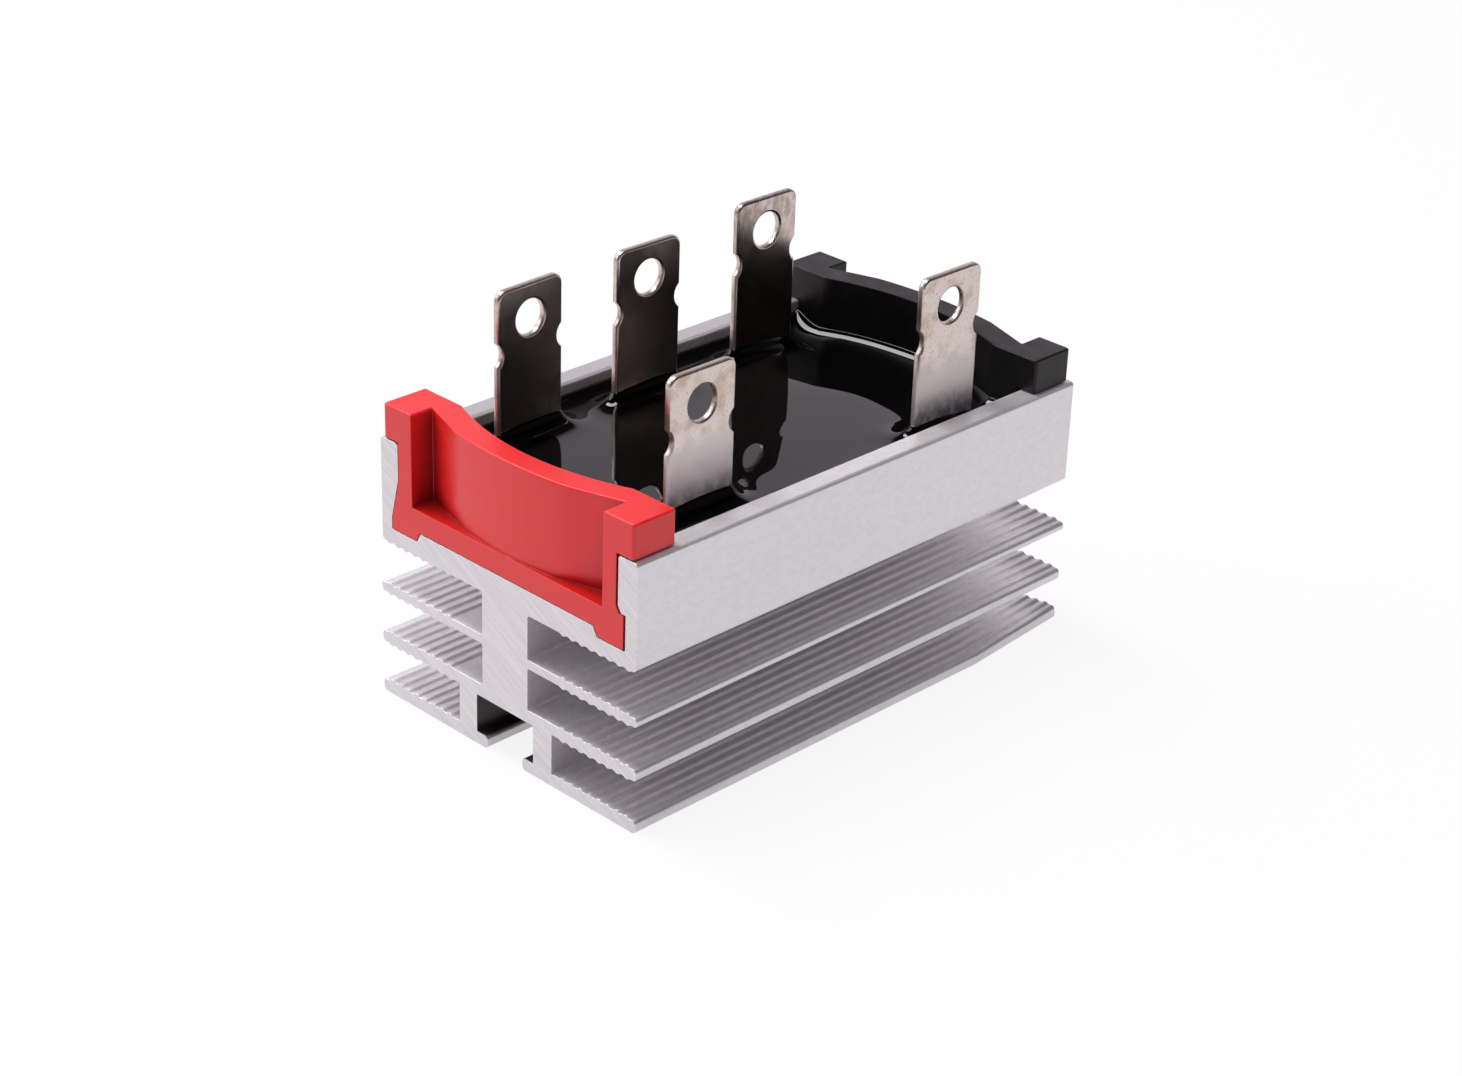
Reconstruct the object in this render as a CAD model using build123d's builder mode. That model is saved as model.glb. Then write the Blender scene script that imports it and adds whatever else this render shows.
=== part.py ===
"""Three-phase bridge rectifier module in a finned aluminium body, in millimetres.

X runs along the body: the red end cap is at -X and the black one at +X.
+Y is the side of the three alternating-current terminals, and +Z is up.
The origin is the middle of the underside.
"""

from build123d import *
import math
import os

os.makedirs("parts", exist_ok=True)

# Body: one aluminium extrusion, a trough on a finned stem
body_length = 67.4
body_width = 40.0
body_height = 31.2
trough_underside = 18.9
floor_height = 21.8
side_channel_floor = 20.7
side_channel_width = 3.0
floor_step_run = 0.6
wall_thickness = 2.8
undercut_depth = 1.15
front_undercut_top = 24.8
front_undercut_lead = (0.5, 0.8)
rear_undercut_low = 22.1
rear_undercut_high = 26.9
wall_outer_round = 0.45
wall_inner_round = 0.35
trough_bottom_round = 0.5

# Stem and fins, numbered from the top one down
stem_width = 7.2
fin_overhang = 0.3
fin_underside = (12.6, 6.25, 0.0)
fin_thickness = (1.05, 1.35, 1.5)
fin_tip_round = 0.45
fin_root_round = 0.35
ripple_start = 8.6
ripple_pitch = 1.4
ripple_height = 0.2
ripple_crest = 0.35
ripple_slope = 0.3

# A knock has bent the lowest fin's front tip up, at the black cap's end
bent_length = 14.0
bent_turn = 5.9

# Slot for a bolt head or a nut, along the underside of the stem
slot_width = 9.0
slot_mouth = 5.6
slot_roof = 6.05
slot_lip_round = 0.5
slot_leg_thickness = 2.9

# End caps, moulded to fill the ends of the trough and hook over its walls
cap_depth = 5.8
cap_rise = 4.1
cap_front_gap = 0.3
cap_rear_gap = 0.1
cap_floor_gap = 0.08
cap_lug_gap = 0.15
cap_lug_inset = 0.62
cap_column_thickness = 2.0
cap_band_height = 2.6
cap_lug_round = 0.35
cap_edge_chamfer = 0.15
black_cap_setback = 0.45

# The web that closes each cap bows outwards, and slopes back beside each column
web_back_radius = 34.0
web_back_recess = 3.1
web_front_recess = 0.25
web_crease_half_width = 8.8
web_crease_recess = 1.0
web_corner_recess = 3.0
web_crease_bend = 3.5
web_crease_curl = 1.6

# Potting compound, poured to just below the top of the walls
potting_level = 29.7

# Stack inside the potting, from the trough floor up
plate_thickness = 0.8
plate_end_gap = 7.2
rail_thickness = 1.2
rail_margin = 0.3
rail_end_margin = 1.5
rail_spacing = 2.0
minus_arm_length = 12.6
minus_arm_clearance = 1.2
first_die_margin = 2.0
last_die_margin = 0.2
die_inner_margin = 0.3
die_foot_gap = 0.6
die_thickness = 0.3
buffer_inset = 0.3
buffer_thickness = 0.5
strap_overhang = 0.3
strap_thickness = 0.8
strap_spacing = 1.5
strap_wall_gap = 2.8
strap_foot_overlap = 5.0

# Terminals, stamped from strip: an upright blade on a bent foot
blade_width = 9.4
blade_thickness = 0.9
blade_corner_round = 1.2
blade_edge_chamfer = 0.15
bend_radius = 0.6
foot_length = 4.4
terminal_hole = 4.1
terminal_hole_drop = 3.95
notch_radius = 1.7
notch_depth = 0.7
notch_drop = 7.25

# Each blade was set by hand: its middle stands at a distance from the body's end
# and its face towards -Y at a distance from the nearer wall, with a turn in
# degrees and a rise above the walls. The middle one stands beside the third strap
ac_end_gap = (15.4, 16.5)
ac_wall_gap = (3.9, 4.6, 4.35)
ac_turn = (2.0, -0.9, -0.4)
ac_rise = (15.5, 15.9, 16.7)
front_end_gap = (16.2, 16.4)
front_wall_gap = (4.9, 2.1)
front_turn = (-0.3, -0.5)
front_rise = (14.0, 16.2)

# Levels and edges that follow from the sizes above
half_length = body_length / 2
half_width = body_width / 2
wall_inner = half_width - wall_thickness
side_channel_inner = wall_inner - side_channel_width
undercut = wall_inner + undercut_depth
fin_half_width = half_width + fin_overhang
fin_top = [underside + thickness for underside, thickness in zip(fin_underside, fin_thickness)]
slot_leg_outer = slot_width / 2 + slot_leg_thickness
cap_top = body_height + cap_rise
cap_back = half_length - cap_depth
cap_floor = floor_height + cap_floor_gap
band_top = cap_floor + cap_band_height
column_inner = wall_inner - cap_front_gap - cap_column_thickness
lug_outer = half_width - cap_lug_inset
plate_end = half_length - plate_end_gap
plate_outer = side_channel_inner - floor_step_run
plate_top = floor_height + plate_thickness
rail_end = plate_end - rail_end_margin
rail_outer = plate_outer - rail_margin
rail_inner = rail_spacing / 2
rail_top = plate_top + rail_thickness
arm_start = rail_end - minus_arm_length
plus_rail_end = arm_start - minus_arm_clearance
die_bottom = rail_top + buffer_thickness
die_top = die_bottom + die_thickness
strap_bottom = die_top + buffer_thickness
strap_top = strap_bottom + strap_thickness
strap_rear = wall_inner - strap_wall_gap
die_inner = rail_inner + die_inner_margin
die_outer = wall_inner - front_wall_gap[0] - foot_length - die_foot_gap
die_side = die_outer - die_inner
die_row = (die_outer + die_inner) / 2
buffer_side = die_side - 2 * buffer_inset
strap_width = die_side + 2 * strap_overhang
first_column = first_die_margin + die_side / 2 - rail_end
last_column = plus_rail_end - last_die_margin - die_side / 2
die_columns = (first_column, (first_column + last_column) / 2, last_column)
middle_blade_x = last_column - strap_width / 2 - strap_spacing - blade_width / 2
ac_places = (ac_end_gap[0] - half_length, middle_blade_x, half_length - ac_end_gap[1])
front_places = (front_end_gap[0] - half_length, half_length - front_end_gap[1])
hairline = cap_floor_gap / 8


def box(low_x, high_x, low_y, high_y):
    """A rectangle given by its edges."""
    with BuildSketch() as plan:
        with Locations(((low_x + high_x) / 2, (low_y + high_y) / 2)):
            Rectangle(high_x - low_x, high_y - low_y)
    return plan.sketch


def rippled_strip(level, outward, edge):
    """Low ridges along one side of a fin, out of its face, as far as they fit before its edge."""
    crest = level + outward * ripple_height
    buried = level - outward * ripple_height
    ridge = 2 * ripple_slope + ripple_crest
    count = math.floor((edge - ripple_start - ridge) / ripple_pitch) + 1
    with BuildSketch() as strip:
        for index in range(count):
            start = ripple_start + index * ripple_pitch
            end = start + ridge
            Polygon(
                (start, buried),
                (start, level),
                (start + ripple_slope, crest),
                (end - ripple_slope, crest),
                (end, level),
                (end, buried),
                align=None,
            )
    return strip.sketch


def trough_room(front_gap, rear_gap, floor_gap, top):
    """Section of the room inside the trough, drawn in from its walls by the gaps."""
    lead_in, lead_drop = front_undercut_lead
    front_wall = wall_inner - front_gap
    rear_wall = wall_inner - rear_gap
    front_groove = undercut - front_gap
    rear_groove = undercut - rear_gap
    groove_floor = side_channel_floor + floor_gap
    groove_inner = side_channel_inner + floor_gap
    floor = floor_height + floor_gap
    groove_top = front_undercut_top - floor_gap
    with BuildSketch() as room:
        Polygon(
            (-front_wall, top),
            (-front_wall, groove_top + lead_drop),
            (-front_wall - lead_in, groove_top),
            (-front_groove, groove_top),
            (-front_groove, groove_floor),
            (-groove_inner, groove_floor),
            (-groove_inner + floor_step_run, floor),
            (groove_inner - floor_step_run, floor),
            (groove_inner, groove_floor),
            (rear_groove, groove_floor),
            (rear_groove, rear_undercut_low),
            (rear_wall, rear_undercut_high),
            (rear_wall, top),
            align=None,
        )
    return room.sketch


def heatsink_section():
    """The extruded section: half of the finned stem is mirrored, then hollowed."""
    with BuildSketch() as section:
        add(box(0, half_width, trough_underside, body_height))
        add(box(0, stem_width / 2, slot_roof, trough_underside))
        add(box(0, slot_leg_outer, 0, fin_top[1]))
        for underside, top in zip(fin_underside, fin_top):
            add(box(0, fin_half_width, underside, top))
        fillet(section.vertices().group_by(Axis.X)[-1], fin_tip_round)
        stem_corners = section.vertices().filter_by(
            lambda corner: abs(corner.X - stem_width / 2) < hairline
        )
        fillet(stem_corners, fin_root_round)
        add(rippled_strip(trough_underside, -1, half_width - trough_bottom_round))
        for underside in fin_underside[:2]:
            add(rippled_strip(underside, -1, fin_half_width - fin_tip_round))
        for top in fin_top:
            add(rippled_strip(top, 1, fin_half_width - fin_tip_round))
        mirror(about=Plane.YZ)
        add(box(-slot_width / 2, slot_width / 2, fin_thickness[2], slot_roof), mode=Mode.SUBTRACT)
        add(box(-slot_mouth / 2, slot_mouth / 2, 0, fin_thickness[2]), mode=Mode.SUBTRACT)
        lip_corners = section.vertices().filter_by(
            lambda corner: abs(abs(corner.X) - slot_mouth / 2) < hairline
        )
        fillet(lip_corners, slot_lip_round)
        add(trough_room(0, 0, 0, body_height), mode=Mode.SUBTRACT)
        rim = section.vertices().group_by(Axis.Y)[-1].sort_by(Axis.X)
        fillet([rim[0], rim[-1]], wall_outer_round)
        rim = section.vertices().group_by(Axis.Y)[-1].sort_by(Axis.X)
        fillet([rim[1], rim[2]], wall_inner_round)
        skirt = section.vertices().filter_by(
            lambda corner: abs(corner.Y - trough_underside) < hairline
            and abs(corner.X) > half_width - hairline
        )
        fillet(skirt, trough_bottom_round)
    return section.sketch


def hinge_plane(x, turn):
    """Cross plane at x through the lowest fin's root line, turned about that line."""
    lean = math.radians(turn)
    return Plane(
        origin=(x, -ripple_start, fin_underside[2]),
        x_dir=(0, math.cos(lean), -math.sin(lean)),
        z_dir=(1, 0, 0),
    )


def pocket_outline(crease, curl):
    """Outline of a cap's corner pocket: its inner side curls in above the band."""
    with BuildSketch() as outline:
        with BuildLine():
            bend = (crease, band_top + web_crease_bend)
            Line((crease, cap_top), bend)
            TangentArc(bend, (crease - curl, band_top), tangent=(0, -1))
            Polyline((crease - curl, band_top), (column_inner, band_top), (column_inner, cap_top))
            Line((column_inner, cap_top), (crease, cap_top))
        make_face()
    return outline.sketch


def terminal(height):
    """A blade of the given height on its foot, which points along +Y."""
    with BuildPart() as stamping:
        with BuildSketch(Plane.YZ.offset(-blade_width / 2)) as profile:
            add(box(0, blade_thickness, 0, height))
            add(box(0, foot_length, 0, blade_thickness))
            inner_corner = profile.vertices().filter_by(
                lambda corner: abs(corner.X - blade_thickness) + abs(corner.Y - blade_thickness) < hairline
            )
            fillet(inner_corner, bend_radius)
            outer_corner = profile.vertices().filter_by(
                lambda corner: abs(corner.X) + abs(corner.Y) < hairline
            )
            fillet(outer_corner, bend_radius + blade_thickness)
        extrude(amount=blade_width)
        top_corners = stamping.edges().filter_by(Axis.Y).group_by(Axis.Z)[-1]
        fillet(top_corners, blade_corner_round)
        flat_sides = stamping.faces().filter_by(Axis.Y).group_by(SortBy.AREA)[-2:]
        rims = [edge for group in flat_sides for face in group for edge in face.edges()
                if edge.center().Z > bend_radius + 2 * blade_thickness]
        chamfer(rims, blade_edge_chamfer)
        notch_centre = blade_width / 2 + notch_radius - notch_depth
        with BuildSketch(Plane.XZ):
            with Locations((-notch_centre, height - notch_drop), (notch_centre, height - notch_drop)):
                Circle(notch_radius)
            with Locations((0, height - terminal_hole_drop)):
                Circle(terminal_hole / 2)
        extrude(amount=blade_thickness * 2, both=True, mode=Mode.SUBTRACT)
    return stamping.part


# Heatsink: the section is drawn through, and the bent tip is lofted to its new line
section = heatsink_section()
tip_window = box(-body_width, -ripple_start, -fin_thickness[2], 2 * fin_thickness[2])
tip_outline = (section & tip_window).moved(Location((ripple_start, -fin_underside[2])))
with BuildPart() as heatsink:
    with BuildSketch(Plane.YZ.offset(-half_length)):
        add(section)
    extrude(amount=body_length)
    with BuildSketch(Plane.YZ.offset(half_length)):
        add(tip_window)
    extrude(amount=-bent_length, mode=Mode.SUBTRACT)
    with BuildSketch(hinge_plane(half_length - bent_length, 0)):
        add(tip_outline)
    with BuildSketch(hinge_plane(half_length, bent_turn)):
        add(tip_outline)
    loft(ruled=True)
heatsink.part.label = "heatsink"
export_step(heatsink.part, "parts/heatsink.step")

# Red end cap: a frame fills the trough's end with a lug over each wall, and the
# bowed web closes it, with a pocket in front of the web beside each column
ramp_slope = (column_inner - web_crease_half_width) / (web_corner_recess - web_crease_recess)
crease_at_front = web_crease_half_width - web_crease_recess * ramp_slope
with BuildPart() as end_cap_red:
    with BuildSketch(Plane.YZ.offset(-half_length)):
        add(trough_room(cap_front_gap, cap_rear_gap, cap_floor_gap, cap_top))
        add(box(-lug_outer, lug_outer, body_height + cap_lug_gap, cap_top))
    extrude(amount=cap_depth)
    with BuildSketch(Plane.XY.offset(band_top)):
        with BuildLine():
            left_crease = (web_crease_recess - half_length, web_crease_half_width)
            right_crease = (web_crease_recess - half_length, -web_crease_half_width)
            ThreePointArc(right_crease, (web_front_recess - half_length, 0), left_crease)
            Polyline(
                left_crease,
                (web_crease_recess - half_length, column_inner),
                (-half_length, column_inner),
                (-half_length, -column_inner),
                (web_crease_recess - half_length, -column_inner),
                right_crease,
            )
        make_face()
    extrude(amount=cap_rise + body_height - band_top, mode=Mode.SUBTRACT)
    with BuildSketch(Plane.YZ.offset(-half_length)):
        add(pocket_outline(crease_at_front, web_crease_curl))
    with BuildSketch(Plane.YZ.offset(web_corner_recess - half_length)):
        add(pocket_outline(column_inner - cap_floor_gap, cap_floor_gap))
    left_pocket = loft(ruled=True, mode=Mode.PRIVATE)
    add(left_pocket, mode=Mode.SUBTRACT)
    add(left_pocket.mirror(Plane.XZ), mode=Mode.SUBTRACT)
    with BuildSketch(Plane.XY.offset(side_channel_floor)):
        with Locations((web_back_recess - half_length + web_back_radius, 0)):
            Circle(web_back_radius)
        add(box(-half_length, -cap_back, -half_width, half_width), mode=Mode.INTERSECT)
    extrude(amount=cap_top - side_channel_floor, mode=Mode.SUBTRACT)
    outer_uprights = end_cap_red.edges().filter_by(Axis.Z).filter_by(
        lambda edge: abs(edge.center().Y) > lug_outer - hairline
    )
    fillet(outer_uprights, cap_lug_round)
    top_rim = end_cap_red.faces().sort_by(Axis.Z)[-1].edges()
    chamfer(top_rim, cap_edge_chamfer)
end_cap_red.part.label = "end_cap_red"
export_step(end_cap_red.part, "parts/end_cap_red.step")

# Black end cap: the same moulding, facing the other end and pushed in a little further
with BuildPart() as end_cap_black:
    mirror(end_cap_red.part.moved(Location((black_cap_setback, 0, 0))), about=Plane.YZ)
end_cap_black.part.label = "end_cap_black"
export_step(end_cap_black.part, "parts/end_cap_black.step")

buried = []

# Ceramic plate: insulates the live parts from the body and passes their heat
with BuildPart() as insulating_plate:
    with BuildSketch(Plane.XY.offset(floor_height)):
        Rectangle(2 * plate_end, 2 * plate_outer)
    extrude(amount=plate_thickness)
insulating_plate.part.label = "insulating_plate"
export_step(insulating_plate.part, "parts/insulating_plate.step")
buried.append(insulating_plate.part)

# Plus rail: carries three dies and the plus terminal, along the front
with BuildPart() as plus_rail:
    with BuildSketch(Plane.XY.offset(plate_top)):
        add(box(-rail_end, plus_rail_end, -rail_outer, -rail_inner))
    extrude(amount=rail_thickness)
plus_rail.part.label = "plus_rail"
export_step(plus_rail.part, "parts/plus_rail.step")
buried.append(plus_rail.part)

# Minus rail: along the rear, with an arm that comes forward to its terminal
with BuildPart() as minus_rail:
    with BuildSketch(Plane.XY.offset(plate_top)):
        add(box(-rail_end, rail_end, rail_inner, rail_outer))
        add(box(arm_start, rail_end, -rail_outer, rail_inner))
    extrude(amount=rail_thickness)
minus_rail.part.label = "minus_rail"
export_step(minus_rail.part, "parts/minus_rail.step")
buried.append(minus_rail.part)

# Six diode dies, each between two buffer plates that ease the copper's expansion
layers = (
    ("lower_buffer", rail_top, buffer_side, buffer_thickness),
    ("diode_die", die_bottom, die_side, die_thickness),
    ("upper_buffer", die_top, buffer_side, buffer_thickness),
)
for row_name, row_y in (("plus", -die_row), ("minus", die_row)):
    for number, column_x in enumerate(die_columns, start=1):
        for layer_name, bottom, side, thickness in layers:
            with BuildPart() as slab:
                with BuildSketch(Plane.XY.offset(bottom)):
                    with Locations((column_x, row_y)):
                        Rectangle(side, side)
                extrude(amount=thickness)
            slab.part.label = f"{layer_name}_{row_name}_{number}"
            export_step(slab.part, f"parts/{slab.part.label}.step")
            buried.append(slab.part)

# Straps: each joins a pair of dies across the rails and reaches its terminal
for number, (column_x, blade_x) in enumerate(zip(die_columns, ac_places), start=1):
    strap_low_x = column_x - strap_width / 2
    strap_high_x = column_x + strap_width / 2
    foot_low_x = min(strap_low_x, blade_x - blade_width / 2)
    foot_high_x = max(strap_high_x, blade_x + blade_width / 2)
    with BuildPart() as ac_strap:
        with BuildSketch(Plane.XY.offset(strap_bottom)):
            add(box(strap_low_x, strap_high_x, -die_outer, strap_rear))
            add(box(foot_low_x, foot_high_x, strap_rear - strap_foot_overlap, strap_rear))
        extrude(amount=strap_thickness)
    ac_strap.part.label = f"ac_strap_{number}"
    export_step(ac_strap.part, f"parts/{ac_strap.part.label}.step")
    buried.append(ac_strap.part)

# Front terminals: they stand on the rails, with their feet turned inwards
front_names = ("plus_terminal", "minus_terminal")
for name, x, wall_gap, turn, rise in zip(front_names, front_places, front_wall_gap, front_turn, front_rise):
    stamping = terminal(body_height + rise - rail_top)
    with BuildPart() as front_terminal:
        with Locations(Location((x, wall_gap - wall_inner, rail_top), (0, 0, turn))):
            add(stamping)
    front_terminal.part.label = name
    export_step(front_terminal.part, f"parts/{name}.step")
    buried.append(front_terminal.part)

# Rear terminals: they stand on the straps, with their feet turned inwards
for number, (x, wall_gap, turn, rise) in enumerate(zip(ac_places, ac_wall_gap, ac_turn, ac_rise), start=1):
    stamping = terminal(body_height + rise - strap_top)
    back_y = wall_inner - wall_gap + blade_thickness
    with BuildPart() as rear_terminal:
        with Locations(Location((x, back_y, strap_top), (0, 0, 180 + turn))):
            add(stamping)
    rear_terminal.part.label = f"ac_terminal_{number}"
    export_step(rear_terminal.part, f"parts/{rear_terminal.part.label}.step")
    buried.append(rear_terminal.part)

# Potting: fills the trough between the caps, around everything that it holds
pour_start = web_back_recess - half_length
pour_end = half_length - black_cap_setback - web_back_recess
with BuildPart() as potting:
    with BuildSketch(Plane.YZ.offset(pour_start)):
        add(trough_room(0, 0, 0, potting_level))
    extrude(amount=pour_end - pour_start)
    with BuildSketch(Plane.XY):
        with Locations((pour_start + web_back_radius, 0)):
            Circle(web_back_radius)
        with Locations((pour_end - web_back_radius, 0)):
            Circle(web_back_radius, mode=Mode.INTERSECT)
        add(box(-cap_back, cap_back - black_cap_setback, -half_width, half_width))
    extrude(amount=cap_top, mode=Mode.INTERSECT)
    for piece in buried:
        add(piece, mode=Mode.SUBTRACT)
potting.part.label = "potting"
export_step(potting.part, "parts/potting.step")
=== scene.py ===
import math

import bmesh
import bpy
import numpy as np
from mathutils import Matrix, Vector


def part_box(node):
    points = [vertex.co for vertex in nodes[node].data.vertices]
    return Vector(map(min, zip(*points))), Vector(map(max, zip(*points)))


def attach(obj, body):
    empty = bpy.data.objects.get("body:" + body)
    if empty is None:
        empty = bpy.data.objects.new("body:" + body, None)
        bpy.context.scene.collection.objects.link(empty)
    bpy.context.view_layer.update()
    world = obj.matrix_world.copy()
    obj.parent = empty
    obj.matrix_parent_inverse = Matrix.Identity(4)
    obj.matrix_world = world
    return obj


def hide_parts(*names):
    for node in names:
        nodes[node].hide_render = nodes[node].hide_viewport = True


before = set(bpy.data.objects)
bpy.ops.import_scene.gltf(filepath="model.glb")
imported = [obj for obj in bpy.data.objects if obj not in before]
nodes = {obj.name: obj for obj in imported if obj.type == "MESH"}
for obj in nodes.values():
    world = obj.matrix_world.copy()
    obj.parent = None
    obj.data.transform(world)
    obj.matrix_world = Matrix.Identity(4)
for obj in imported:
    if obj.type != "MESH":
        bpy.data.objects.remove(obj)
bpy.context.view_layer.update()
MM = 0.001


# The heatsink is one bare aluminium extrusion, sawn to length.
# Its sides keep the die's long drawing lines, and the sawn ends keep slanting
# blade marks, so the finish follows the way that each face looks.
def new_finish(name, colour, roughness, metallic=0.0):
    """A material with its shader's plain values set, and a coordinate in millimetres."""
    material = bpy.data.materials.new(name)
    material.use_nodes = True
    tree = material.node_tree
    shader = tree.nodes["Principled BSDF"]
    shader.inputs["Base Color"].default_value = (*colour, 1)
    shader.inputs["Roughness"].default_value = roughness
    shader.inputs["Metallic"].default_value = metallic
    place = tree.nodes.new("ShaderNodeTexCoord")
    millimetres = tree.nodes.new("ShaderNodeVectorMath")
    millimetres.operation = "SCALE"
    millimetres.inputs["Scale"].default_value = 1 / MM
    tree.links.new(place.outputs["Object"], millimetres.inputs[0])
    return material, tree, shader, millimetres.outputs[0]


def grain(tree, place, stretch, detail=3.0, turn=(0, 0, 0)):
    """Noise whose lumps are stretched: each number is lumps per millimetre along that axis."""
    mapping = tree.nodes.new("ShaderNodeMapping")
    mapping.inputs["Rotation"].default_value = turn
    tree.links.new(place, mapping.inputs["Vector"])
    stretched = tree.nodes.new("ShaderNodeVectorMath")
    stretched.operation = "MULTIPLY"
    stretched.inputs[1].default_value = stretch
    tree.links.new(mapping.outputs["Vector"], stretched.inputs[0])
    noise = tree.nodes.new("ShaderNodeTexNoise")
    noise.inputs["Scale"].default_value = 1
    noise.inputs["Detail"].default_value = detail
    tree.links.new(stretched.outputs[0], noise.inputs["Vector"])
    return noise.outputs["Fac"]


def spread(tree, value, low, high, out_low, out_high):
    """Stretches the part of a value between low and high to a new range."""
    remap = tree.nodes.new("ShaderNodeMapRange")
    for name, number in zip(("From Min", "From Max", "To Min", "To Max"), (low, high, out_low, out_high)):
        remap.inputs[name].default_value = number
    tree.links.new(value, remap.inputs["Value"])
    return remap.outputs["Result"]


def product(tree, *values):
    """The values multiplied."""
    total = values[0]
    for value in values[1:]:
        times = tree.nodes.new("ShaderNodeMath")
        times.operation = "MULTIPLY"
        tree.links.new(total, times.inputs[0])
        tree.links.new(value, times.inputs[1])
        total = times.outputs[0]
    return total


def size_of(tree, value):
    """The value without its sign."""
    absolute = tree.nodes.new("ShaderNodeMath")
    absolute.operation = "ABSOLUTE"
    tree.links.new(value, absolute.inputs[0])
    return absolute.outputs[0]


def tinted(tree, share, under, colour):
    """A colour laid over another, by a share from 0 to 1."""
    mix = tree.nodes.new("ShaderNodeMix")
    mix.data_type = "RGBA"
    mix.inputs["B"].default_value = (*colour, 1)
    tree.links.new(share, mix.inputs["Factor"])
    tree.links.new(under, mix.inputs["A"])
    return mix.outputs["Result"]


def three_parts(tree, vector):
    """The X, Y and Z of a vector."""
    parts = tree.nodes.new("ShaderNodeSeparateXYZ")
    tree.links.new(vector, parts.inputs[0])
    return parts.outputs["X"], parts.outputs["Y"], parts.outputs["Z"]


def blend_values(tree, share, first, second):
    """First where share is 0, second where it is 1."""
    mix = tree.nodes.new("ShaderNodeMix")
    mix.data_type = "FLOAT"
    tree.links.new(share, mix.inputs["Factor"])
    tree.links.new(first, mix.inputs["A"])
    tree.links.new(second, mix.inputs["B"])
    return mix.outputs["Result"]


def shade_between(tree, share, first, second):
    """A colour between two, by a share from 0 to 1."""
    mix = tree.nodes.new("ShaderNodeMix")
    mix.data_type = "RGBA"
    mix.inputs["A"].default_value = (*first, 1)
    mix.inputs["B"].default_value = (*second, 1)
    tree.links.new(share, mix.inputs["Factor"])
    return mix.outputs["Result"]


def relief(tree, shader, height, depth_mm):
    """Bumps of the given depth from a height of 0 to 1."""
    bump = tree.nodes.new("ShaderNodeBump")
    bump.inputs["Distance"].default_value = depth_mm * MM
    tree.links.new(height, bump.inputs["Height"])
    tree.links.new(bump.outputs["Normal"], shader.inputs["Normal"])


def clean_edges(piece, width_mm, angle_deg=28, segments=2, weld_mm=0.001, flat_deg=1):
    """Breaks a CAD piece's sharp edges by a small round, and shades its curves smoothly."""
    for polygon in piece.data.polygons:
        polygon.use_smooth = True
    weld = piece.modifiers.new("weld", "WELD")
    weld.merge_threshold = weld_mm * MM
    merge = piece.modifiers.new("flat faces", "DECIMATE")
    merge.decimate_type = "DISSOLVE"
    merge.angle_limit = math.radians(flat_deg)
    bevel = piece.modifiers.new("broken edges", "BEVEL")
    bevel.width = width_mm * MM
    bevel.segments = segments
    bevel.limit_method = "ANGLE"
    bevel.angle_limit = math.radians(angle_deg)
    bevel.miter_outer = "MITER_ARC"
    normals = piece.modifiers.new("normals", "WEIGHTED_NORMAL")
    normals.keep_sharp = True


def dress(piece, material):
    """Gives a CAD piece its finish."""
    piece.data.materials.clear()
    piece.data.materials.append(material)


# The sides and the tops of the walls are painted darker as shade, the rear top
# most, and the inside of the slot is painted dark as shade.
saw_slant = math.radians(-28)
drawn_dark, drawn_light = (0.88, 0.855, 0.87), (0.95, 0.925, 0.94)
sawn_dark, sawn_light = (0.66, 0.635, 0.65), (0.77, 0.74, 0.76)
stain_colour = (0.42, 0.39, 0.41)
painted_shade_colour = (0.45, 0.43, 0.45)
slot_shade_colour = (0.05, 0.04, 0.04)
stain_share = 0.55
painted_side_shade = 0.31
front_top_shade, rear_top_shade = 0.1, 0.7
slot_shade_share = 0.95
metal_smoothest, metal_roughest = 0.38, 0.48
facing_end = (0.75, 0.95)
facing_out = (0.8, 0.95)
noise_middle = (0.35, 0.65)
noise_most = (0.3, 0.7)
stain_peaks = (0.64, 0.72)
wall_height = 31.2
wall_top_band = (wall_height - 1.0, wall_height - 0.4)
front_to_rear = (-5, 5)
slot_width = 9.0
slot_roof = 6.05
slot_lip = 1.5
slot_shade_past = 0.1
slot_shade_fade = 0.2
mark_depth = 0.005
sawn_edge = 0.07

aluminium, tree, shader, place = new_finish(
    "extruded_aluminium", (0.83, 0.80, 0.825), roughness=0.5, metallic=0.78
)
drawn_lines = grain(tree, place, (0.04, 8, 8), detail=5)
saw_marks = grain(tree, place, (1, 0.09, 3.6), detail=4, turn=(saw_slant, 0, 0))
mottle = grain(tree, place, (0.9, 1.4, 1.4), detail=10)
stains = grain(tree, place, (2.6, 4.5, 4.5), detail=4)
look_x, look_y, look_z = three_parts(tree, tree.nodes.new("ShaderNodeNewGeometry").outputs["Normal"])
x, y, z = three_parts(tree, place)
sawn = spread(tree, size_of(tree, look_x), *facing_end, 0, 1)
marks = blend_values(tree, sawn, drawn_lines, saw_marks)
tone = spread(tree, blend_values(tree, sawn, mottle, marks), *noise_middle, 0, 1)
finish = tree.nodes.new("ShaderNodeMix")
finish.data_type = "RGBA"
tree.links.new(tone, finish.inputs["Factor"])
tree.links.new(shade_between(tree, sawn, drawn_dark, sawn_dark), finish.inputs["A"])
tree.links.new(shade_between(tree, sawn, drawn_light, sawn_light), finish.inputs["B"])
stain_spots = spread(tree, stains, *stain_peaks, 0, stain_share)
stained = tinted(tree, stain_spots, finish.outputs["Result"], stain_colour)
# Faces that look out to the sides are painted darker, as shade.
sides = spread(tree, size_of(tree, look_y), *facing_out, 0, painted_side_shade)
sides_shaded = tinted(tree, sides, stained, painted_shade_colour)
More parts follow.
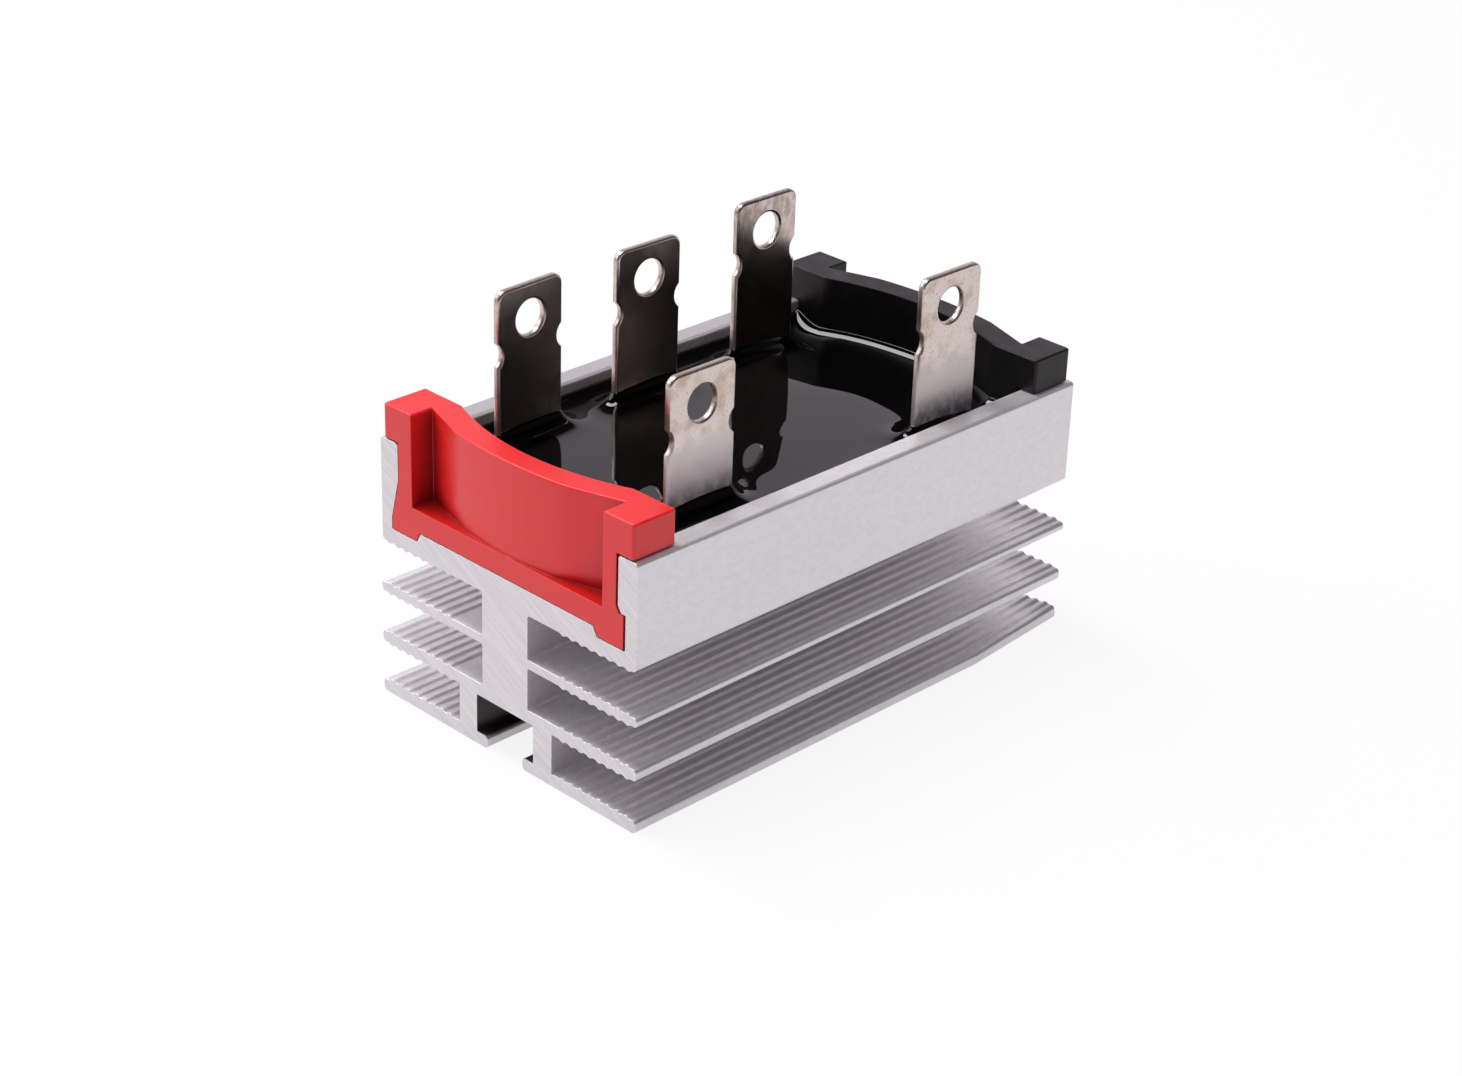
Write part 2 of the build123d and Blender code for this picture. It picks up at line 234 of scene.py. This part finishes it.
# The tops of the walls are painted darker, as shade, the rear ones most.
painted_top_shade = product(
    tree,
    spread(tree, z, *wall_top_band, 0, 1),
    spread(tree, look_z, *facing_out, 0, 1),
    spread(tree, y, *front_to_rear, front_top_shade, rear_top_shade),
)
tops_shaded = tinted(tree, painted_top_shade, sides_shaded, painted_shade_colour)
# The inside of the slot is painted dark, as shade.
slot_side = slot_width / 2 + slot_shade_past
slot_top = slot_roof + slot_shade_past
painted_slot_shade = product(
    tree,
    spread(tree, size_of(tree, y), slot_side + slot_shade_fade, slot_side, 0, slot_shade_share),
    spread(tree, z, slot_top + slot_shade_fade, slot_top, 0, 1),
    spread(tree, z, slot_lip - slot_shade_fade, slot_lip, 0, 1),
    spread(tree, sawn, 0, 1, 1, 0),
)
slot_shaded = tinted(tree, painted_slot_shade, tops_shaded, slot_shade_colour)
tree.links.new(slot_shaded, shader.inputs["Base Color"])
metal_roughness = spread(tree, marks, *noise_most, metal_smoothest, metal_roughest)
tree.links.new(metal_roughness, shader.inputs["Roughness"])
relief(tree, shader, marks, mark_depth)
dress(nodes["heatsink"], aluminium)
clean_edges(nodes["heatsink"], sawn_edge)

# The stack that rectifies lies sealed in the potting: an alumina plate on the
# trough's floor, two copper rails, six silicon dies between molybdenum buffers,
# and a copper strap over each pair. Nothing of it shows in the finished part.
mottle_shade = 0.8
for name, colour, roughness, metallic, members in (
    ("ceramic", (0.86, 0.86, 0.83), 0.6, 0.0, ("insulating_plate",)),
    ("bare_copper", (0.80, 0.43, 0.30), 0.35, 1.0, ("rail", "ac_strap")),
    ("molybdenum", (0.45, 0.45, 0.47), 0.4, 1.0, ("buffer",)),
    ("silicon", (0.28, 0.29, 0.33), 0.15, 1.0, ("diode_die",)),
):
    material, tree, shader, place = new_finish(name, colour, roughness, metallic)
    mottle = grain(tree, place, (1.5, 1.5, 1.5))
    darker = tuple(mottle_shade * part for part in colour)
    tree.links.new(shade_between(tree, mottle, darker, colour), shader.inputs["Base Color"])
    for node, piece in nodes.items():
        if any(member in node for member in members):
            dress(piece, material)

# Each end cap is one plastic moulding, pushed into the trough's end: a frame
# with a lug over each wall, and a bowed web that held the compound back.
# Both came out of one mould. The red one marks the plus end.
# The pockets and recesses of each cap are painted darker, as shade, by an occlusion node.
pocket_depth = 6.0
pocket_shade = 0.42
pocket_window = (0.3, 0.85)
mould_grain_depth = 0.012
moulded_edge = 0.16
sheen_tint = (1.0, 0.94, 0.97, 1)
for node, slot, light, dark, smoothest, roughest, sheen in (
    ("end_cap_red", "red_plastic", (0.78, 0.011, 0.012), (0.72, 0.007, 0.008), 0.3, 0.4, 0.62),
    ("end_cap_black", "black_plastic", (0.006, 0.005, 0.005), (0.003, 0.0025, 0.0025), 0.34, 0.46, 0.3),
):
    material, tree, shader, place = new_finish(slot, light, roughness=0.42)
    cloud = grain(tree, place, (0.35, 0.35, 0.35), detail=4)
    mould_grain = grain(tree, place, (9, 9, 9), detail=2)
    # Painted shade: the colour darkens where the moulding is hemmed in.
    recess_shade = tree.nodes.new("ShaderNodeAmbientOcclusion")
    recess_shade.inputs["Distance"].default_value = pocket_depth * MM
    shade = tree.nodes.new("ShaderNodeMix")
    shade.data_type = "RGBA"
    shade.inputs["A"].default_value = (*(pocket_shade * part for part in dark), 1)
    tree.links.new(spread(tree, recess_shade.outputs["AO"], *pocket_window, 0, 1), shade.inputs["Factor"])
    tree.links.new(shade_between(tree, cloud, dark, light), shade.inputs["B"])
    tree.links.new(shade.outputs["Result"], shader.inputs["Base Color"])
    tree.links.new(spread(tree, cloud, *noise_most, smoothest, roughest), shader.inputs["Roughness"])
    shader.inputs["Specular IOR Level"].default_value = sheen
    shader.inputs["Specular Tint"].default_value = sheen_tint
    relief(tree, shader, mould_grain, mould_grain_depth)
    dress(nodes[node], material)
    clean_edges(nodes[node], moulded_edge, segments=3)

# The five terminals are stamped from plated strip and bent to a foot that the
# compound hides. Punching has rounded their edges, pinched each side in to a
# notch, and left bright plating on the rims.
strip_width = 9.4
strip_thickness = 0.9
strip_corner = 1.2
strip_edge_round = 0.28
strip_hole = 4.1
hole_drop = 3.95
notch_radius = 1.7
notch_depth = 0.7
notch_drop = 7.25
bend_inner = 0.6
foot_length = 4.4
hole_steps = 96
notch_steps = 13
corner_steps = 9
bend_steps = 8
seam_width = 0.0005
flat_face = 0.995


def arc(centre_x, centre_y, radius, start_deg, end_deg, count):
    """Points along an arc, both ends included."""
    angles = np.radians(np.linspace(start_deg, end_deg, count))
    return [(centre_x + radius * math.cos(a), centre_y + radius * math.sin(a)) for a in angles]


def strip_outline(height, tail):
    """Outline of the flat strip, from its tail below zero to its rounded top."""
    half = strip_width / 2
    notch_centre = half + notch_radius - notch_depth
    reach = math.degrees(math.acos((notch_radius - notch_depth) / notch_radius))
    level = height - notch_drop
    right = [(half, -tail)]
    right += arc(notch_centre, level, notch_radius, 180 + reach, 180 - reach, notch_steps)
    right += arc(half - strip_corner, height - strip_corner, strip_corner, 0, 90, corner_steps)
    return right + [(-x, y) for x, y in reversed(right)]


def closed_line(curve, points):
    """Adds a closed run of straight pieces to a flat curve."""
    line = curve.splines.new("POLY")
    line.points.add(len(points) - 1)
    for point, (x, y) in zip(line.points, points):
        point.co = (x, y, 0, 1)
    line.use_cyclic_u = True


def stamped_blade(name, height):
    """Mesh of a blade with its foot along +Y, in millimetres, standing on zero."""
    middle = bend_inner + strip_thickness / 2
    centre = bend_inner + strip_thickness
    tail = middle * math.pi / 2 - centre + foot_length - centre
    curve = bpy.data.curves.new(name, "CURVE")
    curve.dimensions = "2D"
    curve.fill_mode = "BOTH"
    closed_line(curve, strip_outline(height, tail))
    last_deg = 360 - 360 / hole_steps
    closed_line(curve, arc(0, height - hole_drop, strip_hole / 2, 0, last_deg, hole_steps))
    curve.extrude = strip_thickness / 2 - strip_edge_round
    curve.bevel_depth = strip_edge_round
    curve.bevel_resolution = 3
    curve.offset = -strip_edge_round
    flat = bpy.data.objects.new(name, curve)
    bpy.context.scene.collection.objects.link(flat)
    bpy.context.view_layer.update()
    mesh = bpy.data.meshes.new_from_object(flat.evaluated_get(bpy.context.evaluated_depsgraph_get()))
    bpy.data.objects.remove(flat)
    shape = bmesh.new()
    shape.from_mesh(mesh)
    bmesh.ops.remove_doubles(shape, verts=shape.verts, dist=seam_width)
    for step in range(bend_steps + 1):
        cut = centre - middle * math.pi / 2 * step / bend_steps
        everything = shape.verts[:] + shape.edges[:] + shape.faces[:]
        bmesh.ops.bisect_plane(shape, geom=everything, plane_co=(0, cut, 0), plane_no=(0, 1, 0))
    for vertex in shape.verts:
        x, along_strip, out = vertex.co
        if along_strip >= centre:
            vertex.co = (x, strip_thickness / 2 + out, along_strip)
            continue
        turn = min((centre - along_strip) / middle, math.pi / 2)
        beyond = max(centre - along_strip - middle * math.pi / 2, 0)
        radius = middle - out
        vertex.co = (x, centre - radius * math.cos(turn) + beyond, centre - radius * math.sin(turn))
    shape.to_mesh(mesh)
    shape.free()
    for polygon in mesh.polygons:
        polygon.use_smooth = abs(polygon.normal.y) < flat_face
    return mesh


# The front row's faces have dulled near the pour and are stained at the foot.
# The third blade of the rear row is darker towards its top, in patches. Each levels
# pair says at which height a mark starts and where it is full, each other pair where it shows.
bright_plating, worn_plating = (0.64, 0.555, 0.52), (0.49, 0.39, 0.32)
tarnish = (0.30, 0.19, 0.13)
dull_plating, whiter_plating = (0.76, 0.69, 0.67), (0.97, 0.89, 0.865)
foot_stain = (0.16, 0.165, 0.185)
darker_top_colour = (0.30, 0.25, 0.235)
dull_levels = (38.5, 35.5)
minus_stain_levels = (33.8, 30.8)
plus_stain_levels = (32.9, 30.4)
darker_top_levels = (42.5, 45.5)
speck_share = 0.7
worn_window = (0.48, 0.66)
speck_window = (0.6, 0.72)
rim_turn = (0.97, 0.8)
front_half = (0, -1)
rear_half = (0, 1)
plus_half = (5, -5)
third_blade = (5, 12)
facing_front = (0.1, -0.5)
dull_clouds = (0.3, 0.6, 0.8, 0.95)
stain_scratches = (0.36, 0.55, 0.4, 0.9)
darker_top_patches = (0.42, 0.6, 0.1, 0.8)
plating_roughness = (0.3, 0.75, 0.15, 0.24)
dull_metallic = 0.1
rim_roughness = 0.2
dull_roughness = 0.2
rolling_depth = 0.002

plated, tree, shader, place = new_finish(
    "tinned_copper", (0.76, 0.71, 0.68), roughness=0.2, metallic=1.0
)
handling = grain(tree, place, (0.5, 0.5, 0.5), detail=5)
rolling = grain(tree, place, (1.6, 1.6, 0.12), detail=3)
specks = grain(tree, place, (3.5, 3.5, 3.5), detail=2)
scratches = grain(tree, place, (1.5, 1.5, 0.9), detail=9)
plating = shade_between(tree, spread(tree, handling, *worn_window, 0, 1), bright_plating, worn_plating)
tarnished = tinted(tree, spread(tree, specks, *speck_window, 0, speck_share), plating, tarnish)
look_y = three_parts(tree, tree.nodes.new("ShaderNodeNewGeometry").outputs["Normal"])[1]
x, y, z = three_parts(tree, place)
sheared = spread(tree, size_of(tree, look_y), *rim_turn, 0, 1)
front_faces = product(
    tree, spread(tree, y, *front_half, 0, 1), spread(tree, look_y, *facing_front, 0, 1)
)
dulled = product(
    tree,
    front_faces,
    spread(tree, z, *dull_levels, 0, 1),
    spread(tree, handling, *dull_clouds),
)
plus_side = spread(tree, x, *plus_half, 0, 1)
whiter = product(tree, dulled, plus_side)
clouded = tinted(tree, whiter, tinted(tree, dulled, tarnished, dull_plating), whiter_plating)
minus_low = spread(tree, z, *minus_stain_levels, 0, 1)
plus_low = spread(tree, z, *plus_stain_levels, 0, 1)
low_down = blend_values(tree, plus_side, minus_low, plus_low)
stained_foot = product(tree, front_faces, low_down, spread(tree, scratches, *stain_scratches))
foot_stained = tinted(tree, stained_foot, clouded, foot_stain)
# The third rear blade is darker towards its top, in patches.
darker_top = product(
    tree,
    spread(tree, y, *rear_half, 0, 1),
    spread(tree, x, *third_blade, 0, 1),
    spread(tree, z, *darker_top_levels, 0, 1),
    spread(tree, scratches, *darker_top_patches),
)
plating_colour = tinted(tree, darker_top, foot_stained, darker_top_colour)
tree.links.new(plating_colour, shader.inputs["Base Color"])
tree.links.new(spread(tree, dulled, 0, 1, 1, dull_metallic), shader.inputs["Metallic"])
roughness = spread(tree, handling, *plating_roughness)
for share, extra in ((sheared, rim_roughness), (dulled, dull_roughness)):
    added = tree.nodes.new("ShaderNodeMath")
    added.operation = "MULTIPLY_ADD"
    added.inputs[1].default_value = extra
    tree.links.new(share, added.inputs[0])
    tree.links.new(roughness, added.inputs[2])
    roughness = added.outputs[0]
tree.links.new(roughness, shader.inputs["Roughness"])
relief(tree, shader, rolling, rolling_depth)

# Each blade has its node, the middle of its width, the face away from its foot,
# and its turn in degrees, because each was set by hand.
blades = (
    ("plus_terminal", -17.5, -12.3, -0.3),
    ("minus_terminal", 17.3, -15.1, -0.5),
    ("ac_terminal_1", -18.3, 13.3 + strip_thickness, 182.0),
    ("ac_terminal_2", -1.5, 12.6 + strip_thickness, 179.1),
    ("ac_terminal_3", 17.2, 12.85 + strip_thickness, 179.6),
)
for node, x, y, turn_deg in blades:
    low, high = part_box(node)
    foot_level = low.z / MM
    mesh = stamped_blade(node + "_blade", high.z / MM - foot_level)
    place_of_blade = Matrix.Translation((x, y, foot_level)) @ Matrix.Rotation(math.radians(turn_deg), 4, "Z")
    mesh.transform(Matrix.Scale(MM, 4) @ place_of_blade)
    mesh.materials.append(plated)
    blade = bpy.data.objects.new(node + "_blade", mesh)
    bpy.context.scene.collection.objects.link(blade)
    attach(blade, "root")
    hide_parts(node)

# The potting is black compound, poured in liquid and set like glass. It climbs
# the walls, the caps and every blade. Setting drew its surface down, most of all
# beside the black cap, and left a gentle swell.
wall_inner = 17.2
pour_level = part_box("potting")[1].z / MM
pour_bottom = 21.8
web_back_radius = 34.0
red_web_back = -30.6
black_web_back = 30.15
red_cap_back = -27.9
black_cap_back = 27.45
pour_step = 0.22
wall_climb = 1.2
cap_climb = 1.3
black_web_climb = 1.6
blade_climb = 1.9
corner_loss = 0.25
steep_reach = 0.95
web_reach = 1.5
broad_climb = 0.12
broad_reach = 3.0
climb_blend = 3
dome_rise = -0.6
dome_fall_across = 0.0016
dome_fall_along = 0.0004
swell_height = 0.030
swell_along, swell_across = 3.7, 5.3
swell_bend, swell_bend_across = 0.8, 4.1
swell_start = 0.4
ripple_height = 0.012
ripple_along, ripple_across = 1.6, 1.9
ripple_start = 1.3
sink_depth = 1.2
sink_reach = 9.5
sink_wall_gap = 2.0
skirt_turn = 0.3
haze_roughness = 0.03
haze_window = (0.35, 0.75)
compound_ior = 1.4


def end_of_pour(y):
    """Where the pour meets the red and the black cap, at each y."""
    bow = np.sqrt(web_back_radius**2 - y**2) - web_back_radius
    red = np.minimum(red_cap_back, red_web_back - bow)
    black = np.maximum(black_cap_back, black_web_back + bow)
    return red, black


def near_blade(x, y, centre_x, face_y, turn_deg):
    """Distance from each point to a blade's section, and how far along its width it lies."""
    turn = math.radians(turn_deg)
    along_x = (x - centre_x) * math.cos(turn) + (y - face_y) * math.sin(turn)
    across = -(x - centre_x) * math.sin(turn) + (y - face_y) * math.cos(turn) - strip_thickness / 2
    out_x = np.abs(along_x) - (strip_width / 2 - strip_edge_round)
    out_y = np.abs(across) - (strip_thickness / 2 - strip_edge_round)
    outside = np.hypot(np.maximum(out_x, 0), np.maximum(out_y, 0))
    gap = np.maximum(outside + np.minimum(np.maximum(out_x, out_y), 0) - strip_edge_round, 0)
    return gap, np.minimum(np.abs(along_x) / (strip_width / 2), 1)


rows = int(2 * wall_inner / pour_step)
columns = int((black_web_back - red_web_back) / pour_step)
y_line = np.linspace(-wall_inner, wall_inner, rows + 1)
along = np.linspace(0, 1, columns + 1)
red_line, black_line = end_of_pour(y_line)
x_grid = red_line[:, None] + (black_line - red_line)[:, None] * along[None, :]
y_grid = np.repeat(y_line[:, None], columns + 1, axis=1)
to_wall = wall_inner - np.abs(y_grid)
red_circle = web_back_radius - np.hypot(x_grid - (red_web_back + web_back_radius), y_grid)
black_circle = web_back_radius - np.hypot(x_grid - (black_web_back - web_back_radius), y_grid)
to_red = np.maximum(x_grid - red_cap_back, red_circle)
to_black = np.maximum(black_cap_back - x_grid, black_circle)
edges = [
    (to_wall, wall_climb, steep_reach),
    (to_red, cap_climb, steep_reach),
    (to_black, black_web_climb, web_reach),
]
for node, x, y, turn_deg in blades:
    gap, off_middle = near_blade(x_grid, y_grid, x, y, turn_deg)
    edges.append((gap, blade_climb - corner_loss * off_middle**2, steep_reach))
climbs = []
for gap, steep_climb, steep_width in edges:
    gap = np.maximum(gap, 0)
    climbs.append(steep_climb * np.exp(-gap / steep_width) + broad_climb * np.exp(-gap / broad_reach))
climb = sum(part**climb_blend for part in climbs) ** (1 / climb_blend)
sunk = sink_depth * np.exp(-((np.maximum(to_black, 0) / sink_reach) ** 2))
sunk *= 1 - np.exp(-((to_wall / sink_wall_gap) ** 2))
dome = dome_rise - dome_fall_across * y_grid**2 - dome_fall_along * x_grid**2
bend = swell_bend * np.sin(y_grid / swell_bend_across)
swell = -swell_height * np.sin(x_grid / swell_along + bend) * np.cos(y_grid / swell_across + swell_start)
swell += ripple_height * np.sin(x_grid / ripple_along - y_grid / ripple_across + ripple_start)
z_grid = pour_level + climb + dome + swell - sunk
top = np.stack([x_grid, y_grid, z_grid], axis=-1).reshape(-1, 3)
index = np.arange((rows + 1) * (columns + 1)).reshape(rows + 1, columns + 1)
quads = np.stack([index[:-1, :-1], index[:-1, 1:], index[1:, 1:], index[1:, :-1]], axis=-1).reshape(-1, 4)
rim = np.concatenate([index[0, :-1], index[:-1, -1], index[-1, :0:-1], index[:0:-1, 0]])
skirt = top[rim].copy()
skirt[:, 2] = pour_bottom
first = len(top)
below = first + np.arange(len(rim))
sides = np.stack([rim, below, np.roll(below, -1), np.roll(rim, -1)], axis=-1)
points = (np.concatenate([top, skirt]) * MM).tolist()
faces = quads.tolist() + sides.tolist() + [below[::-1].tolist()]
pour_mesh = bpy.data.meshes.new("potting_pour")
pour_mesh.from_pydata(points, [], faces)
pour_mesh.update()
for polygon in pour_mesh.polygons:
    polygon.use_smooth = polygon.normal.z > skirt_turn
compound, tree, shader, place = new_finish("potting_compound", (0.0014, 0.0012, 0.0012), roughness=0.02)
haze = grain(tree, place, (0.25, 0.25, 0.25), detail=3)
tree.links.new(spread(tree, haze, *haze_window, 0.0, haze_roughness), shader.inputs["Roughness"])
shader.inputs["IOR"].default_value = compound_ior
pour_mesh.materials.append(compound)
pour = bpy.data.objects.new("potting_pour", pour_mesh)
bpy.context.scene.collection.objects.link(pour)
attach(pour, "root")
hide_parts("potting")


# The stage is a pale floor under soft studio light. The camera and reflections
# see the floor and the backdrop behind as near white, the room in front is dim,
# and the object keeps its soft shadow.
def seen_directly(tree):
    """1 for rays from the camera or off or through a glossy surface, else 0."""
    path = tree.nodes.new("ShaderNodeLightPath")
    total = path.outputs["Is Camera Ray"]
    for kind in ("Is Glossy Ray", "Is Transmission Ray"):
        largest = tree.nodes.new("ShaderNodeMath")
        largest.operation = "MAXIMUM"
        tree.links.new(total, largest.inputs[0])
        tree.links.new(path.outputs[kind], largest.inputs[1])
        total = largest.outputs[0]
    return total


floor_reach = 3.0
paper_colour = (0.80, 0.79, 0.80, 1)
floor_white_seen = 0.6
floor_white_camera = 0.28
floor_corners = [
    (-floor_reach, -floor_reach, 0),
    (floor_reach, -floor_reach, 0),
    (floor_reach, floor_reach, 0),
    (-floor_reach, floor_reach, 0),
]
floor_mesh = bpy.data.meshes.new("floor")
floor_mesh.from_pydata(floor_corners, [], [(0, 1, 2, 3)])
floor = bpy.data.objects.new("floor", floor_mesh)
bpy.context.scene.collection.objects.link(floor)
paper = bpy.data.materials.new("floor_paper")
paper.use_nodes = True
tree = paper.node_tree
output = tree.nodes["Material Output"]
tree.nodes.remove(tree.nodes["Principled BSDF"])
lit = tree.nodes.new("ShaderNodeBsdfDiffuse")
lit.inputs["Color"].default_value = paper_colour
white = tree.nodes.new("ShaderNodeEmission")
white.inputs["Strength"].default_value = 1
camera_only = tree.nodes.new("ShaderNodeLightPath")
share_of_white = tree.nodes.new("ShaderNodeMath")
share_of_white.operation = "MULTIPLY_ADD"
share_of_white.inputs[1].default_value = floor_white_camera
tree.links.new(camera_only.outputs["Is Camera Ray"], share_of_white.inputs[0])
tree.links.new(spread(tree, seen_directly(tree), 0, 1, 0, floor_white_seen), share_of_white.inputs[2])
floor_mix = tree.nodes.new("ShaderNodeMixShader")
tree.links.new(share_of_white.outputs[0], floor_mix.inputs["Fac"])
tree.links.new(lit.outputs[0], floor_mix.inputs[1])
tree.links.new(white.outputs[0], floor_mix.inputs[2])
tree.links.new(floor_mix.outputs[0], output.inputs["Surface"])
floor_mesh.materials.append(paper)

backdrop_way = (0.6, 0.8, 0)
backdrop_edge = (0.1, 0.45)
room_dim, backdrop_bright = 0.07, 0.88
backdrop_top = (0.53, 0.62)
ceiling_share = 0.05
fill_front, fill_back = 0.42, 0.46
room_tint = (0.98, 0.915, 1.0)
world = bpy.data.worlds.new("studio")
bpy.context.scene.world = world
world.use_nodes = True
tree = world.node_tree
room = tree.nodes["Background"]
from_camera = tree.nodes.new("ShaderNodeLightPath").outputs["Is Camera Ray"]
tree.links.new(shade_between(tree, from_camera, room_tint, (1, 1, 1)), room.inputs["Color"])
direction = tree.nodes.new("ShaderNodeTexCoord")
backwards = tree.nodes.new("ShaderNodeVectorMath")
backwards.operation = "DOT_PRODUCT"
backwards.inputs[1].default_value = backdrop_way
tree.links.new(direction.outputs["Generated"], backwards.inputs[0])
sweep_side = spread(tree, backwards.outputs["Value"], *backdrop_edge, room_dim, backdrop_bright)
upwards = tree.nodes.new("ShaderNodeSeparateXYZ")
tree.links.new(direction.outputs["Generated"], upwards.inputs[0])
sweep = product(tree, sweep_side, spread(tree, upwards.outputs["Z"], *backdrop_top, 1.0, ceiling_share))
camera_only = tree.nodes.new("ShaderNodeLightPath")
white_for_camera = tree.nodes.new("ShaderNodeMath")
white_for_camera.operation = "MAXIMUM"
tree.links.new(sweep, white_for_camera.inputs[0])
tree.links.new(camera_only.outputs["Is Camera Ray"], white_for_camera.inputs[1])
fill = spread(tree, sweep_side, 0, 1, fill_front, fill_back)
room_strength = blend_values(tree, seen_directly(tree), fill, white_for_camera.outputs[0])
tree.links.new(room_strength, room.inputs["Strength"])


def soft_lamp(name, place, aim, width, length, power):
    """A studio lamp behind a white cloth, at a place and aimed at a point."""
    lamp = bpy.data.lights.new(name, "AREA")
    lamp.shape = "RECTANGLE"
    lamp.size = width
    lamp.size_y = length
    lamp.energy = power
    stand = bpy.data.objects.new(name, lamp)
    stand.location = place
    stand.rotation_euler = (Vector(aim) - Vector(place)).to_track_quat("-Z", "Y").to_euler()
    bpy.context.scene.collection.objects.link(stand)


soft_lamp("overhead", (-0.08, 0.33, 0.75), (-0.08, 0.33, 0), width=0.2, length=0.8, power=6.4)
soft_lamp("left", (-0.5, 0.6, 0.45), (0, 0, 0.02), width=0.4, length=0.4, power=1.5)

# The camera stands in front of the red cap's corner, at the height of a person
# who looks down on a bench.
view_turn = math.radians(-45.73)
view_height = math.radians(26.88)
view_roll = math.radians(1.96)
view_distance = 0.34985
aim_right = 0.00035
aim_up = 0.01358
camera_data = bpy.data.cameras.new("camera")
camera_data.sensor_width = 36
camera_data.lens = 75.478
camera_data.clip_start = 0.01
camera = bpy.data.objects.new("camera", camera_data)
stance = (
    Matrix.Rotation(view_turn, 4, "Z")
    @ Matrix.Rotation(math.pi / 2 - view_height, 4, "X")
    @ Matrix.Rotation(view_roll, 4, "Z")
)
camera.matrix_world = stance @ Matrix.Translation((aim_right, aim_up, view_distance))
bpy.context.scene.collection.objects.link(camera)
bpy.context.scene.camera = camera
bpy.context.scene.view_settings.view_transform = "Standard"
